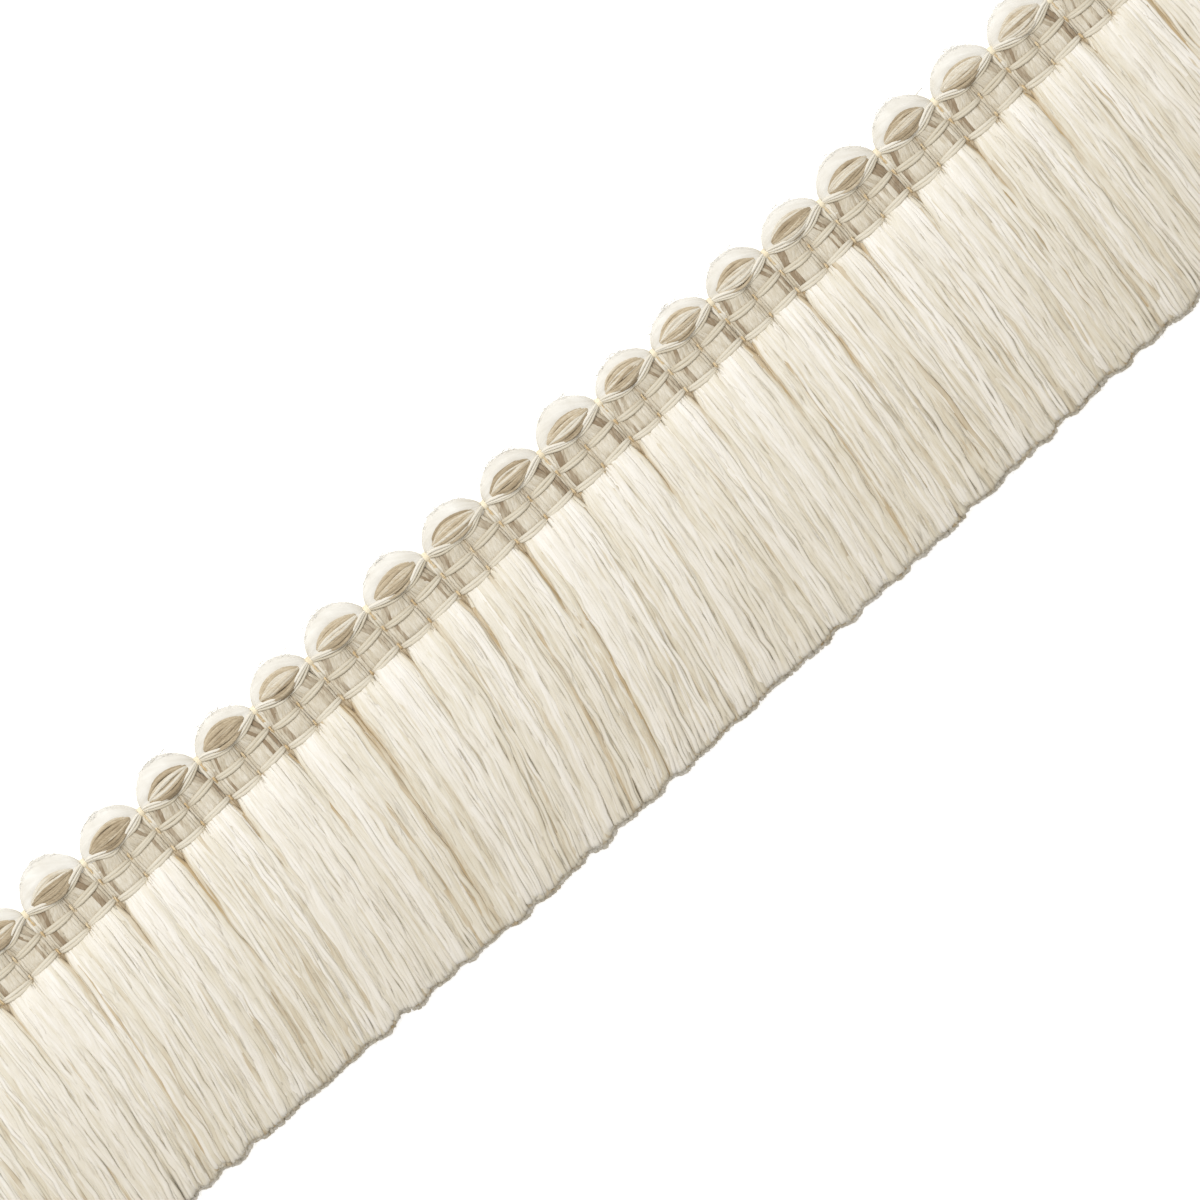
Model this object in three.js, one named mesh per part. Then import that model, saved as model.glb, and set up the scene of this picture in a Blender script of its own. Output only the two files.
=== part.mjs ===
// Brush fringe trim: a cut length of furnishing trim, lying flat with its face up.
//
// Millimetres, +Z up. The length runs along X, the loop edge faces +Y and the cut ends of the brush face -Y.
// Places across the trim are given as a depth below the line of the loop tops, and become Y at the end.
// The trim lies on Z = 0, and the origin is the centre of its box, at the bottom.
import * as THREE from "three";

// Driving dimensions
const PITCH = 10.5;
const LOOP_TOP_DEPTH = 0;
const LOOP_FOOT_DEPTH = 5.7;
const KNOT_DEPTH = 3.9;
const HEADING_FOOT_DEPTH = 12.2;
const CUT_DEPTH = 49.9;
const GAP = 0.3;

// One row for each loop and the tuft below it, from the left-hand end.
// rise: how far the loop stands above the common line. lean: how far the tuft's tips hang to the right.
// cut: how much longer than the common length the tuft is.
const REPEATS = [
  { rise: 0.1, lean: -2.0, cut: -0.6 },
  { rise: 0.0, lean: -3.0, cut: -0.7 },
  { rise: -0.2, lean: -4.0, cut: -0.8 },
  { rise: 0.2, lean: -4.6, cut: -0.9 },
  { rise: 0.8, lean: -5.1, cut: -0.8 },
  { rise: 0.0, lean: -5.1, cut: -0.5 },
  { rise: 0.4, lean: -4.9, cut: -0.3 },
  { rise: -0.4, lean: -4.5, cut: -0.1 },
  { rise: 0.0, lean: -4.8, cut: 0.1 },
  { rise: 0.4, lean: -5.8, cut: 0.6 },
  { rise: 0.1, lean: -7.0, cut: 0.4 },
  { rise: 0.1, lean: -7.5, cut: 0.3 },
  { rise: -0.1, lean: -7.4, cut: 0.3 },
  { rise: 0.3, lean: -5.8, cut: 0.1 },
  { rise: -0.5, lean: -4.0, cut: 0.1 },
  { rise: -0.4, lean: -4.4, cut: 0.1 },
  { rise: 0.0, lean: -4.4, cut: 0.1 },
  { rise: -0.3, lean: -2.8, cut: -0.3 },
  { rise: 0.3, lean: -3.2, cut: -0.5 },
  { rise: 0.3, lean: -3.2, cut: -0.9 },
  { rise: 0.1, lean: -2.6, cut: -0.8 },
  { rise: 0.0, lean: -2.2, cut: -0.8 },
  { rise: 0.2, lean: -1.6, cut: -0.6 },
  { rise: -0.1, lean: -1.0, cut: -0.5 },
];
const LENGTH = PITCH * REPEATS.length;

// Loop edge: half sizes of the bundle at a pinched knot and at the middle of a loop
const KNOT_HALF_WIDTH = 1.0;
const KNOT_HALF_THICKNESS = 0.9;
const KNOT_HEIGHT = 1.9;
const LOOP_HALF_THICKNESS = 2.4;
const LOOP_SIDES = 8;
const LOOP_STEPS = 6;
const LOOP_FULLNESS = 0.6;

// Heading band: two ribs for each loop, higher at a rib's middle than at the binder lines beside it
const STEPS_PER_REPEAT = 4;
const RIB_HEIGHT = 3.3;
const BINDER_LINE_HEIGHT = 2.3;
const SEAT_DROP = 0.6;
const SEAT_HALF_WIDTH = 0.6;
const SEAT_SHOULDER = 0.25;
const SWAG_SEAT_WIDTH = 1.25;
const UPPER_CORD_DEPTH = 8.3;
const LOWER_CORD_DEPTH = 11.6;

// Cords: each is two cream yarns side by side, in a seat of the heading
const CORD_WIDTH = 0.9;
const CORD_THICKNESS = 0.55;

// Brush skirt: its height at a tuft's middle and between two tufts, from the heading's foot to the cut ends
const SKIRT_ROWS = [
  { share: 0.0, crown: 2.9, groove: 1.2 },
  { share: 0.08, crown: 3.9, groove: 1.8 },
  { share: 0.2, crown: 4.4, groove: 2.9 },
  { share: 0.4, crown: 4.3, groove: 3.8 },
  { share: 0.65, crown: 4.0, groove: 3.8 },
  { share: 0.9, crown: 3.6, groove: 3.4 },
  { share: 1.0, crown: 3.2, groove: 3.0 },
];
const TUFT_STATIONS = [0, 0.15, 0.5, 0.85];
const TUFT_SHOULDER = 0.93;
const LEAN_POWER = 1.6;
const FACE_SHORTFALL = 0.7;
const NICK_DEPTH = 0.2;

const COLOURS = {
  roving: 0xf1ebde,
  heading: 0xd9d1bd,
  cord: 0xe0d8c4,
  brush: 0xeee8da,
};

function clothMaterial(colour) {
  return new THREE.MeshStandardMaterial({ color: colour, roughness: 0.85, metalness: 0 });
}

// Closed solid through rings of points that all have the same count. The two end rings are flat, and flat()
// gives their points as 2-D ones for the caps. The faces are turned to point out.
function solidThrough(rings, flat) {
  const count = rings[0].length;
  const points = rings.flat();
  const faces = [];
  for (let r = 0; r + 1 < rings.length; r++) {
    for (let i = 0; i < count; i++) {
      const a = r * count + i;
      const b = r * count + ((i + 1) % count);
      faces.push([a, b, b + count], [a, b + count, a + count]);
    }
  }
  const last = (rings.length - 1) * count;
  for (const [a, b, c] of capFaces(rings[0].map(flat))) {
    faces.push([b, a, c]);
  }
  for (const [a, b, c] of capFaces(rings.at(-1).map(flat))) {
    faces.push([last + a, last + b, last + c]);
  }
  const outward = volumeOf(points, faces) > 0;
  const index = faces.flatMap(([a, b, c]) => (outward ? [a, b, c] : [a, c, b]));
  const geometry = new THREE.BufferGeometry();
  geometry.setFromPoints(points);
  geometry.setIndex(index);
  geometry.computeVertexNormals();
  return geometry;
}

// Triangles of a cap, turned the same way round as its ring.
function capFaces(ring) {
  const faces = THREE.ShapeUtils.triangulateShape(ring, []);
  const turned = THREE.ShapeUtils.area(ring) > 0;
  return faces.map(([a, b, c]) => {
    const way = THREE.ShapeUtils.area([ring[a], ring[b], ring[c]]) > 0;
    return way === turned ? [a, b, c] : [a, c, b];
  });
}

function volumeOf(points, faces) {
  const cross = new THREE.Vector3();
  return faces.reduce((sum, [a, b, c]) => {
    cross.crossVectors(points[b], points[c]);
    return sum + points[a].dot(cross) / 6;
  }, 0);
}

// The repeat's table value at a place along the trim, blended between the middles of two neighbours.
function blended(column, x) {
  const place = THREE.MathUtils.clamp(x / PITCH - 0.5, 0, REPEATS.length - 1);
  const left = Math.floor(place);
  const right = Math.min(left + 1, REPEATS.length - 1);
  return THREE.MathUtils.lerp(REPEATS[left][column], REPEATS[right][column], place - left);
}

function repeatAt(x) {
  const index = Math.min(Math.floor(x / PITCH), REPEATS.length - 1);
  return REPEATS[index];
}

// 0 at a knot and 1 at the middle of a loop, with the loop's full round shoulders.
function loopSwell(x) {
  const share = x / PITCH - Math.floor(x / PITCH);
  return Math.sin(Math.PI * share) ** LOOP_FULLNESS;
}

// Upper and lower edge of the loop bundle, as depths, and its half thickness and middle height.
function loopSection(x) {
  const swell = loopSwell(x);
  const top = THREE.MathUtils.lerp(KNOT_DEPTH - KNOT_HALF_WIDTH, LOOP_TOP_DEPTH - repeatAt(x).rise, swell);
  const foot = THREE.MathUtils.lerp(KNOT_DEPTH + KNOT_HALF_WIDTH, LOOP_FOOT_DEPTH, swell);
  const half = THREE.MathUtils.lerp(KNOT_HALF_THICKNESS, LOOP_HALF_THICKNESS, swell);
  const resting = LOOP_HALF_THICKNESS * Math.cos(Math.PI / LOOP_SIDES);
  const height = THREE.MathUtils.lerp(KNOT_HEIGHT, resting, swell);
  return { top, foot, half, height };
}

function point(x, depth, z) {
  return new THREE.Vector3(x, -depth, z);
}

// Places along the trim, evenly spaced and with the two ends.
function stationsAlong(stepsPerRepeat) {
  const count = REPEATS.length * stepsPerRepeat;
  return Array.from({ length: count + 1 }, (_, i) => (LENGTH * i) / count);
}

function acrossTrim(p) {
  return new THREE.Vector2(p.y, p.z);
}

function alongTrim(p) {
  return new THREE.Vector2(p.x, p.z);
}

// The pinched bundle: an eight-sided section that rests on one of its sides at each loop's middle.
function loopEdge() {
  const rings = stationsAlong(LOOP_STEPS).map((x) => {
    const { top, foot, half, height } = loopSection(x);
    return Array.from({ length: LOOP_SIDES }, (_, i) => {
      const angle = (2 * Math.PI * (i + 0.5)) / LOOP_SIDES;
      const depth = (top + foot) / 2 + ((foot - top) / 2) * Math.sin(angle);
      return point(x, depth, height + half * Math.cos(angle));
    });
  });
  return solidThrough(rings, acrossTrim);
}

// Height of the heading's ribs: full at a rib's middle, lower on the binder line at each side of it.
function ribHeight(x) {
  const share = (2 * x) / PITCH - Math.floor((2 * x) / PITCH);
  return THREE.MathUtils.lerp(BINDER_LINE_HEIGHT, RIB_HEIGHT, Math.sin(Math.PI * share));
}

function headingTopDepth(x) {
  return loopSection(x).foot + GAP;
}

// The woven band: pillows of yarn between three seats, in which the cords lie.
function headingBand() {
  const shoulder = SEAT_HALF_WIDTH + SEAT_SHOULDER;
  const rings = stationsAlong(STEPS_PER_REPEAT).map((x) => {
    const start = headingTopDepth(x);
    const high = ribHeight(x);
    const low = high - SEAT_DROP;
    return [
      point(x, start, 0),
      point(x, start, low),
      point(x, start + SWAG_SEAT_WIDTH, low),
      point(x, start + SWAG_SEAT_WIDTH + SEAT_SHOULDER, high),
      point(x, UPPER_CORD_DEPTH - shoulder, high),
      point(x, UPPER_CORD_DEPTH - SEAT_HALF_WIDTH, low),
      point(x, UPPER_CORD_DEPTH + SEAT_HALF_WIDTH, low),
      point(x, UPPER_CORD_DEPTH + shoulder, high),
      point(x, LOWER_CORD_DEPTH - shoulder, high),
      point(x, LOWER_CORD_DEPTH - SEAT_HALF_WIDTH, low),
      point(x, HEADING_FOOT_DEPTH, low),
      point(x, HEADING_FOOT_DEPTH, 0),
    ];
  });
  return solidThrough(rings, acrossTrim);
}

// A doubled cord that lies in its seat. depthAt gives the depth of its middle at each place.
function seatedCord(depthAt) {
  const rings = stationsAlong(STEPS_PER_REPEAT).map((x) => {
    const depth = depthAt(x);
    const under = ribHeight(x) - SEAT_DROP + GAP;
    return [
      point(x, depth - CORD_WIDTH / 2, under),
      point(x, depth - CORD_WIDTH / 2, under + CORD_THICKNESS),
      point(x, depth + CORD_WIDTH / 2, under + CORD_THICKNESS),
      point(x, depth + CORD_WIDTH / 2, under),
    ];
  });
  return solidThrough(rings, acrossTrim);
}

function swagDepth(x) {
  return headingTopDepth(x) + SWAG_SEAT_WIDTH / 2;
}

// Height of the skirt at one of the stations across a tuft.
function skirtHeight(row, station) {
  if (station === 0) {
    return row.groove;
  }
  return station === 0.5 ? row.crown : THREE.MathUtils.lerp(row.groove, row.crown, TUFT_SHOULDER);
}

// Depth of the cut edge at a place along the heading, with small nicks from one tuft to the next.
function cutDepth(x) {
  const nick = NICK_DEPTH * Math.sin((5 * x) / PITCH) * Math.sin((13 * x) / PITCH);
  return CUT_DEPTH + blended("cut", x) + nick;
}

// The comb of tufts: grooves part them under the heading and close towards the cut ends, which lean over.
function brushSkirt() {
  const top = HEADING_FOOT_DEPTH + GAP;
  const acrossTuft = (_, i) => TUFT_STATIONS.map((share) => ({ x: PITCH * (i + share), share }));
  const stations = [...REPEATS.flatMap(acrossTuft), { x: LENGTH, share: 0 }];
  const rings = SKIRT_ROWS.map((row) => {
    const placed = ({ x, share }, z, short) => {
      const foot = cutDepth(x) - short;
      const depth = THREE.MathUtils.lerp(top, foot, row.share);
      return point(x + blended("lean", x) * row.share ** LEAN_POWER, depth, z);
    };
    const face = stations.map((s) => placed(s, skirtHeight(row, s.share), FACE_SHORTFALL));
    const back = stations.map((s) => placed(s, 0, 0)).reverse();
    return [...face, ...back];
  });
  return solidThrough(rings, alongTrim);
}

function piece(name, geometry, colour) {
  const mesh = new THREE.Mesh(geometry, clothMaterial(colour));
  mesh.name = name;
  return mesh;
}

function brushFringeTrim() {
  const trim = new THREE.Group();
  trim.add(piece("loop_edge", loopEdge(), COLOURS.roving));
  trim.add(piece("swag_cord", seatedCord(swagDepth), COLOURS.cord));
  trim.add(piece("heading_band", headingBand(), COLOURS.heading));
  trim.add(piece("upper_cord", seatedCord(() => UPPER_CORD_DEPTH), COLOURS.cord));
  trim.add(piece("lower_cord", seatedCord(() => LOWER_CORD_DEPTH), COLOURS.cord));
  trim.add(piece("brush_skirt", brushSkirt(), COLOURS.brush));
  const box = new THREE.Box3().setFromObject(trim);
  const middle = box.getCenter(new THREE.Vector3());
  trim.position.set(-middle.x, -middle.y, -box.min.z);
  return trim;
}

const root = new THREE.Group();
root.add(brushFringeTrim());

export default root;
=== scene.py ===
"""Brush fringe trim: a cut length of furnishing trim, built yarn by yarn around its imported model.

Lengths are millimetres until a mesh is made. A place on the trim is (along, depth, height): along
the heading from its left-hand end, down from the common line of the loop tops, and up from the
surface that the trim lies on.
"""
import logging
import math
from dataclasses import dataclass, field, replace
from enum import Enum
from typing import Sequence

import bpy
import numpy as np
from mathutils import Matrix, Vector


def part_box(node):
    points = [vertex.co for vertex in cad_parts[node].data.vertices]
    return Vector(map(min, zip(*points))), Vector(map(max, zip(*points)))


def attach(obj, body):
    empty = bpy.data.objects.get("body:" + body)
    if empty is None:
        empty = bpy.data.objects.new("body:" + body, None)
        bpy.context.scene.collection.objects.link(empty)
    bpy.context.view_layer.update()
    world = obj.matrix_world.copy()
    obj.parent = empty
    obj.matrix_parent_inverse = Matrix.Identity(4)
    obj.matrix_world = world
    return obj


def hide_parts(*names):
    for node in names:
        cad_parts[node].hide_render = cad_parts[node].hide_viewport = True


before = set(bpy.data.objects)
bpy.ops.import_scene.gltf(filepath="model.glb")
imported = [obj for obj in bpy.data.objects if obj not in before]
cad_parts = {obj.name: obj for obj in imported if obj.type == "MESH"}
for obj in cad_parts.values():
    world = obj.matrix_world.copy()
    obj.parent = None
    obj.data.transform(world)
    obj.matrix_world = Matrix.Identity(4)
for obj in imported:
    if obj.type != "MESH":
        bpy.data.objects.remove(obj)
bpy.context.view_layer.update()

MM = 0.001
BODY = "root"
# How far the foot of the heading lies below the line of the loop tops
HEADING_FOOT = 12.2
# The middle of a knot: how deep it lies, and how high
KNOT_DEPTH = 4.35
KNOT_HEIGHT = 2.3
# The way round a usual yarn of this trim
YARN_GIRTH = 1.4
log = logging.getLogger("brush_fringe_trim")


@dataclass(frozen=True)
class Repeat:
    """One loop with the tuft below it.

    rise is how far the loop stands above the common line, lean how far the tuft's tips hang to
    the right, cut how much longer than the common length the tuft is, and shift how far the knot
    at the loop's left lies right of its even place, all in millimetres. eye names the yarns of
    the loop's eye from its upper edge down: c is cream, t tan and d dark taupe.
    """

    rise: float
    lean: float
    cut: float
    shift: float
    eye: str


# From the left-hand end to the right
REPEATS = (
    Repeat(0.1, -2, -0.6, 0, "ttcdtt"),
    Repeat(0, -3, -0.7, 0.1, "dctdtd"),
    Repeat(-0.2, -4, -0.8, -0.1, "tccdtt"),
    Repeat(0.2, -4.6, -0.9, 0.05, "tdcttd"),
    Repeat(0.8, -5.1, -0.8, 0, "ccddtd"),
    Repeat(0, -5.1, -0.5, 0.25, "tddtdd"),
    Repeat(0.4, -4.9, -0.3, 0.35, "dccctd"),
    Repeat(-0.4, -4.5, -0.1, 0.35, "tdtddt"),
    Repeat(0, -4.8, 0.1, 0.25, "tcccdt"),
    Repeat(0.4, -5.8, 0.6, -0.05, "ttccdd"),
    Repeat(0.1, -7, 0.4, 0.1, "ttctdt"),
    Repeat(0.1, -7.5, 0.3, 0.5, "dctcdt"),
    Repeat(-0.1, -7.4, 0.3, 0.75, "dcctdt"),
    Repeat(0.3, -5.8, 0.1, 0.7, "tttcdd"),
    Repeat(-0.5, -4, 0.1, 0.9, "tccdtd"),
    Repeat(-0.4, -4.4, 0.1, 0.55, "tcctcd"),
    Repeat(0, -4.4, 0.1, 0.6, "tdccct"),
    Repeat(-0.3, -2.8, -0.3, 0.15, "cddtcc"),
    Repeat(0.3, -3.2, -0.5, 0, "dccddt"),
    Repeat(0.3, -3.2, -0.9, -0.1, "dtccdd"),
    Repeat(0.1, -2.6, -0.8, -0.05, "tcccdd"),
    Repeat(0, -2.2, -0.8, 0, "ccdcc"),
    Repeat(0.2, -1.6, -0.6, 0.1, "tdctdt"),
    Repeat(-0.1, -1, -0.5, -0.05, "dccttd"),
)


@dataclass(frozen=True)
class TrimFrame:
    """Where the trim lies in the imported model, and how places on it become places in the model."""

    left: float
    top_line: float
    length: float

    @classmethod
    def from_model(cls) -> "TrimFrame":
        """Reads the heading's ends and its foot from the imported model.

        Returns:
            The trim's frame, in millimetres.
        """
        low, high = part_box("heading_band")
        left, right = low.x / MM, high.x / MM
        return cls(left=left, top_line=low.y / MM + HEADING_FOOT, length=right - left)

    @property
    def pitch(self) -> float:
        """The width of one repeat."""
        return self.length / len(REPEATS)

    def middle(self, repeat: float | np.ndarray) -> float | np.ndarray:
        """The middle of a repeat, as its distance from the heading's left-hand end."""
        return (repeat + 0.5) * self.pitch

    def place(self, along: np.ndarray, depth: np.ndarray, height: np.ndarray) -> np.ndarray:
        """Turns places on the trim into points of the model, with the knots' uneven spacing.

        Args:
            along: Distance from the left-hand end of the heading.
            depth: Distance below the line of the loop tops.
            height: Height above the surface.

        Returns:
            Points in millimetres, in the last axis of the array.
        """
        along, depth, height = np.broadcast_arrays(along, depth, height)
        knots = np.arange(len(REPEATS) + 1) * self.pitch
        shifts = [r.shift for r in REPEATS] + [0.0]
        shifted = along + np.interp(along, knots, shifts)
        return np.stack([self.left + shifted, self.top_line - depth, height], axis=-1)

    def blended(self, column: str, along: np.ndarray) -> np.ndarray:
        """Blends a column of the repeats' table between the middles of neighbouring repeats."""
        middles = self.middle(np.arange(len(REPEATS)))
        return np.interp(along, middles, [getattr(r, column) for r in REPEATS])


def smooth(value: np.ndarray, start: float, end: float) -> np.ndarray:
    """Rises smoothly from 0, where the value is start, to 1, where it is end."""
    share = np.clip((np.asarray(value, float) - start) / (end - start), 0.0, 1.0)
    return share * share * (3.0 - 2.0 * share)


def hump(value: np.ndarray, middle: float, width: float) -> np.ndarray:
    """Reads a hump that is 1 at its middle and has sunk to about a third one width away."""
    return np.exp(-(((value - middle) / width) ** 2))


@dataclass(frozen=True)
class Ripple:
    """A smooth seeded wandering over two lengths, such as the drift of yarns side by side."""

    seed: int
    across: float
    along: float
    waves: int = 7

    def at(self, across: np.ndarray, along: np.ndarray) -> np.ndarray:
        """Reads the wandering.

        Args:
            across: Distance over which neighbours drift apart.
            along: Distance along the yarn.

        Returns:
            Values around 0 that are mostly between -2 and 2.
        """
        rng = np.random.default_rng(self.seed)
        total = 0.0
        for _ in range(self.waves):
            turns = rng.uniform(0.4, 1.4, 2) * rng.choice([-1.0, 1.0], 2)
            wave = turns[0] * across / self.across + turns[1] * along / self.along
            total = total + np.sin(math.tau * (wave + rng.uniform()))
        return total / math.sqrt(self.waves / 2)


def linear(code: int) -> tuple[float, float, float, float]:
    """Turns an sRGB hex colour into the linear colour that a shader takes.

    Args:
        code: The colour as 0xRRGGBB.

    Returns:
        Linear red, green and blue, with an alpha of 1.
    """
    shares = [((code >> shift) & 0xFF) / 255 for shift in (16, 8, 0)]
    red, green, blue = (s / 12.92 if s <= 0.04045 else ((s + 0.055) / 1.055) ** 2.4 for s in shares)
    return red, green, blue, 1.0


def add_node(
    tree: bpy.types.NodeTree, kind: str, inputs: dict | None = None, **settings: object
) -> bpy.types.Node:
    """Adds one node with its settings and links.

    Args:
        tree: The node tree that takes the node.
        kind: Blender's name of the shader node type, without its prefix.
        inputs: For each input, by name or number, a value, the output socket that feeds it, or
            the node whose first output feeds it.
        **settings: Properties of the node.

    Returns:
        The new node.
    """
    node = tree.nodes.new(f"ShaderNode{kind}")
    for name, value in settings.items():
        setattr(node, name, value)
    for key, value in (inputs or {}).items():
        if isinstance(value, bpy.types.Node):
            value = value.outputs[0]
        if isinstance(value, bpy.types.NodeSocket):
            tree.links.new(value, node.inputs[key])
        else:
            node.inputs[key].default_value = value
    return node


@dataclass(frozen=True)
class YarnFinish:
    """A spun yarn's look: its dye from deep to light, the slubs along it, its fibres and twist.

    deep, middle and light are the colours that the yarn's own shade runs through. The tip tint
    is painted shade that deepens the yarn towards its end, and the cut-end tint painted shade on
    the cut end itself. The side setting is painted shade as well: how much deeper the yarn is
    drawn at its sides, where its neighbours shade it. fibre is the width of a bundle of fibres,
    slub the length of a thick or thin place, and lay the length of one turn of the twist, all in
    millimetres. A single fibre, about 0.02 mm, is too fine to show, so bundles are drawn.
    """

    name: str
    slot: str
    deep: int
    middle: int
    light: int
    fibre: float
    slub: float
    lay: float
    streak: float
    tip: int | None = None
    cut_end_shade: int | None = None
    side_shade: float = 0.0
    relief: float = 0.35
    roughness: float = 0.82
    sheen: float = 0.1

    def spread(self, tree: bpy.types.NodeTree, noise: bpy.types.Node) -> bpy.types.Node:
        """Centres a noise on 0 and gives it the strength of the yarn's streaks."""
        settings = {0: noise, 1: 0.25, 2: 0.75, 3: -self.streak, 4: self.streak}
        return add_node(tree, "MapRange", settings)

    def material(self) -> bpy.types.Material:
        """Makes the material.

        Returns:
            The material, named for the yarn.
        """
        made = bpy.data.materials.new(self.name)
        made.use_nodes = True
        tree = made.node_tree
        tree.nodes.clear()
        shade, strand, run = (
            add_node(tree, "Attribute", attribute_name=name).outputs["Fac"]
            for name in ("shade", "strand", "run")
        )
        lie = add_node(tree, "UVMap", uv_map="lie")
        around, travelled = add_node(tree, "SeparateXYZ", {0: lie}).outputs[:2]
        # Fibres lie along the yarn and turn slowly with its twist
        twist = add_node(
            tree, "Math", {0: travelled, 1: 1.0 / self.lay, 2: around}, operation="MULTIPLY_ADD"
        )
        bundles = YARN_GIRTH / self.fibre
        crosswise = add_node(tree, "Math", {0: twist, 1: bundles}, operation="MULTIPLY")
        lengthwise = add_node(tree, "Math", {0: travelled, 1: 0.9 / self.slub}, operation="MULTIPLY")
        # Each yarn reads the noise in a place of its own
        own = add_node(tree, "Math", {0: strand, 1: 700.0}, operation="MULTIPLY")
        spot = add_node(tree, "CombineXYZ", {0: crosswise, 1: lengthwise, 2: own})
        fibres = add_node(
            tree, "TexNoise", {"Vector": spot, "Scale": 1.0, "Detail": 3.0, "Roughness": 0.6}
        )
        # Slubs are soft light and dark lengths
        place = add_node(tree, "CombineXYZ", {1: lengthwise, 2: own})
        slubs = add_node(tree, "TexNoise", {"Vector": place, "Scale": 1.6, "Detail": 2.0})
        both = {0: self.spread(tree, slubs), 1: self.spread(tree, fibres)}
        uneven = add_node(tree, "Math", both, operation="ADD")
        # Painted shade: a yarn is drawn deeper at its sides, where its neighbours lean against it and
        # shade it
        turned = add_node(tree, "Math", {0: around, 1: math.tau}, operation="MULTIPLY")
        facing = add_node(tree, "Math", {0: turned}, operation="SINE")
        side_shade = add_node(tree, "MapRange", {0: facing, 1: 0.3, 2: 0.95, 3: -self.side_shade, 4: 0.0})
        dye_and_side_shade = add_node(tree, "Math", {0: shade, 1: side_shade}, operation="ADD")
        tone = add_node(tree, "Math", {0: dye_and_side_shade, 1: uneven}, operation="ADD", use_clamp=True)
        dye = add_node(tree, "ValToRGB", {0: tone})
        ramp = dye.color_ramp
        ramp.elements[0].color = linear(self.deep)
        ramp.elements[1].color = linear(self.light)
        ramp.elements.new(0.5).color = linear(self.middle)
        colour = dye.outputs["Color"]
        # Painted shade: the tip tint deepens the yarn towards its end, and the cut-end tint deepens
        # the cut end itself
        for tint, start, end in ((self.tip, 0.05, 0.75), (self.cut_end_shade, 0.982, 0.996)):
            if tint is None:
                continue
            share = add_node(tree, "MapRange", {0: run, 1: start, 2: end})
            tinted = add_node(
                tree, "Mix", {0: share, 6: colour, 7: linear(tint)},
                data_type="RGBA", blend_type="MULTIPLY",
            )
            colour = tinted.outputs[2]
        bump = add_node(tree, "Bump", {
            "Height": fibres, "Strength": self.relief, "Distance": self.fibre * MM,
        })
        surface = add_node(tree, "BsdfPrincipled", {
            "Base Color": colour,
            "Roughness": self.roughness,
            "IOR": 1.5,
            "Specular IOR Level": 0.25,
            "Sheen Weight": self.sheen,
            "Sheen Roughness": 0.6,
            "Normal": bump,
        })
        add_node(tree, "OutputMaterial", {"Surface": surface})
        return made


# Bleached cotton roving, carded and barely twisted: nearly white, soft and without gloss.
ROVING = YarnFinish(
    name="bleached_cotton_roving", slot="bleached_roving",
    deep=0xC4BCAA, middle=0xDAD5CA, light=0xE8E5DD,
    fibre=0.3, slub=7.0, lay=40.0, streak=0.1, relief=0.2, roughness=0.9,
)
# The same cotton as a loose carded wad, packed into each loop: smooth, with fine soft streaks.
# A wad is ten times as thick as a yarn, so a fibre of 0.05 shows as a bundle of 0.5 mm.
PADDING = replace(
    ROVING, name="carded_cotton_wadding", fibre=0.05, slub=4.0, lay=60.0, streak=0.22, relief=0.4
)
# Linen spun from retted flax, left undyed: cream through tan to taupe, dry and a little streaked.
LINEN = YarnFinish(
    name="undyed_spun_linen", slot="taupe_linen",
    deep=0x9E8C70, middle=0xC3B397, light=0xDDD6C6,
    side_shade=0.2, fibre=0.14, slub=2.0, lay=1.6, streak=0.18, relief=0.45, roughness=0.8,
)
# Two-fold cream cotton cord: even and a little tighter, so each strand keeps its own edge.
CORD = YarnFinish(
    name="cream_cotton_cord", slot="cream_cord",
    deep=0xC0B49B, middle=0xDBD3C1, light=0xEAE4D7,
    side_shade=0.2, fibre=0.16, slub=6.0, lay=3.2, streak=0.12, roughness=0.75,
)
# Linen and cotton heading yarn, packed side by side: pale in the ribs, taupe beside the knots.
HEADING = YarnFinish(
    name="linen_cotton_heading_yarn", slot="heading_yarn",
    deep=0x938067, middle=0xC7BCA6, light=0xE0D9CA,
    fibre=0.14, slub=2.4, lay=5.0, streak=0.2, relief=0.4,
)
# Brushed cut yarn of linen and cotton: warm white at the tie. Painted shade deepens it towards
# the cut ends, and more on the cut ends themselves.
BRUSH = YarnFinish(
    name="brushed_linen_cotton_yarn", slot="brush_yarn",
    deep=0xB9A27C, middle=0xDDD5C2, light=0xEFEAE1, tip=0xEEECE8, cut_end_shade=0xEEEEEE,
    side_shade=0.14, fibre=0.14, slub=5.0, lay=14.0, streak=0.14,
)
# Gold polyester binder thread: thin, smooth and a little glossy, a fine honey line.
BINDER = YarnFinish(
    name="gold_binder_thread", slot="gold_thread",
    deep=0xB99763, middle=0xD6BF96, light=0xF4E9CE,
    fibre=0.06, slub=3.0, lay=1.0, streak=0.08, relief=0.2, roughness=0.5,
)

UP = np.array([0.0, 0.0, 1.0])
ALONG = np.array([1.0, 0.0, 0.0])


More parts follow.
